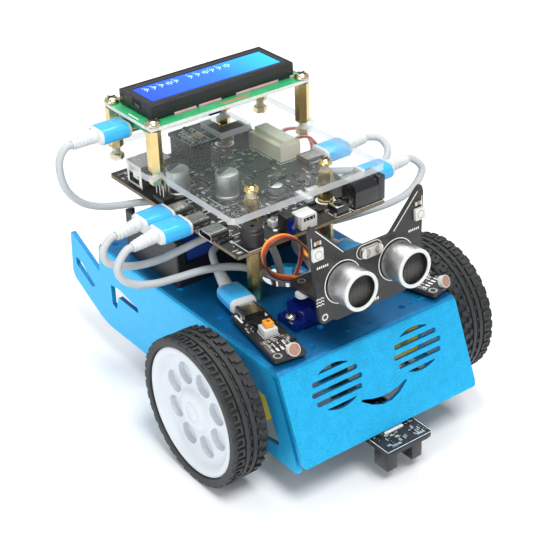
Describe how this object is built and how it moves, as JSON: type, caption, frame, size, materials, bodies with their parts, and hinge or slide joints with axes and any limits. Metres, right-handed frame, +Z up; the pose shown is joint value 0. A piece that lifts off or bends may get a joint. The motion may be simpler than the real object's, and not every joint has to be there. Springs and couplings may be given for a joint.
{
  "type": "educational robot car",
  "caption": "Differential-drive educational robot car with a bent metal chassis, stacked control boards, character display, panning distance sensor, light and line sensors and plug-in cables.",
  "frame": {"origin": "centre of the car's footprint on the floor, measured without its cables", "axes": "+Z up, the car's front faces -Y, the wheel axles lie along X, the car's own right side is -X and its left is +X"},
  "size_m": [0.1484, 0.1843, 0.132],
  "materials": {
    "blue_sheet_metal": "anodised blue, fine sand-blast texture",
    "white_hub_plastic": "smooth white",
    "tyre_rubber": "matt black",
    "yellow_plastic": "yellow gear-motor housing",
    "black_plastic": "black",
    "ball_steel": "polished",
    "cell_wrap": "blue film over a metal can",
    "brass": "turned brass",
    "black_circuit_board": "black solder mask, white marks",
    "plated_shell": "tinned or plated shell",
    "clear_acrylic": "clear cast sheet, polished edges",
    "green_circuit_board": "green solder mask",
    "display_blue": "lit blue window",
    "servo_blue": "translucent dark blue",
    "white_plastic": "white",
    "cream_plastic": "cream connector",
    "orange_plastic": "orange adjuster",
    "cable_jacket": "off-white jacket",
    "plug_blue": "sky-blue overmould with white collars",
    "red_wire": "red and white insulated wires",
    "ribbon_wire": "orange, red and brown insulated wires"
  },
  "bodies": {
    "base": {"battery_cell_front": "cell_wrap", "battery_cell_rear": "cell_wrap", "battery_holder": "black_plastic", "board_standoff_front_l": "brass", "board_standoff_front_r": "brass", "board_standoff_rear_l": "brass", "board_standoff_rear_r": "brass", "buzzer": "black_plastic", "cable_display": "cable_jacket", "cable_light_l": "cable_jacket", "cable_light_r": "cable_jacket", "cable_line": "cable_jacket", "capacitor_a": "plated_shell", "capacitor_b": "plated_shell", "caster_frame": "black_plastic", "chassis": "blue_sheet_metal", "cover_plate": "clear_acrylic", "dc_jack": "black_plastic", "display_bezel": "black_plastic", "display_board": "green_circuit_board", "display_screen": "display_blue", "display_standoff_front_l": "brass", "display_standoff_front_r": "brass", "display_standoff_rear_l": "brass", "display_standoff_rear_r": "brass", "gear_motor_l": "yellow_plastic", "gear_motor_r": "yellow_plastic", "light_board_l": "black_circuit_board", "light_board_r": "black_circuit_board", "line_board": "black_circuit_board", "line_bracket": "black_plastic", "main_board": "black_circuit_board", "module_board": "black_circuit_board", "motor_connector": "cream_plastic", "motor_lead_l": "red_wire", "motor_lead_r": "red_wire", "plug_display": "plug_blue", "plug_light_l": "plug_blue", "plug_light_r": "plug_blue", "plug_line": "plug_blue", "plug_port_left_front": "plug_blue", "plug_port_left_rear": "plug_blue", "plug_port_right_front": "plug_blue", "plug_port_right_rear": "plug_blue", "servo": "servo_blue", "servo_lead": "ribbon_wire", "usb_b_socket": "plated_shell"},
    "wheel_left": {"wheel_hub_l": "white_hub_plastic", "tyre_l": "tyre_rubber"},
    "wheel_right": {"wheel_hub_r": "white_hub_plastic", "tyre_r": "tyre_rubber"},
    "ball": {"caster_ball": "ball_steel"},
    "head": {"servo_horn": "white_plastic", "head_bracket": "black_circuit_board", "head_board": "black_circuit_board", "transducer_l": "plated_shell", "transducer_r": "plated_shell"},
    "button": {"reset_button": "black_plastic"},
    "trim_left": {"trim_rotor_l": "orange_plastic"},
    "trim_right": {"trim_rotor_r": "orange_plastic"}
  },
  "joints": [
    {"name": "wheel_left_spin", "type": "hinge", "parent": "base", "child": "wheel_left", "pos_m": [-0.0588, -0.0362, 0.0315], "axis": [1, 0, 0], "continuous": true},
    {"name": "wheel_right_spin", "type": "hinge", "parent": "base", "child": "wheel_right", "pos_m": [0.0588, -0.0362, 0.0315], "axis": [1, 0, 0], "continuous": true},
    {"name": "ball_roll", "type": "hinge", "parent": "base", "child": "ball", "pos_m": [0, 0.0543, 0.006], "axis": [1, 0, 0], "continuous": true},
    {"name": "head_pan", "type": "hinge", "parent": "base", "child": "head", "pos_m": [0, -0.041, 0.067], "axis": [0, 0, 1], "range_deg": [-45, 45]},
    {"name": "reset_press", "type": "slide", "parent": "base", "child": "button", "axis": [0, 0, -1], "range_m": [0, 0.0004], "stiffness_N_per_m": 1500, "springref_m": -0.0003},
    {"name": "trim_left_turn", "type": "hinge", "parent": "base", "child": "trim_left", "pos_m": [-0.03297, -0.04423, 0.0635], "axis": [0, 0, 1], "range_deg": [-130, 130]},
    {"name": "trim_right_turn", "type": "hinge", "parent": "base", "child": "trim_right", "pos_m": [0.03786, -0.04464, 0.0635], "axis": [0, 0, 1], "range_deg": [-130, 130]}
  ]
}
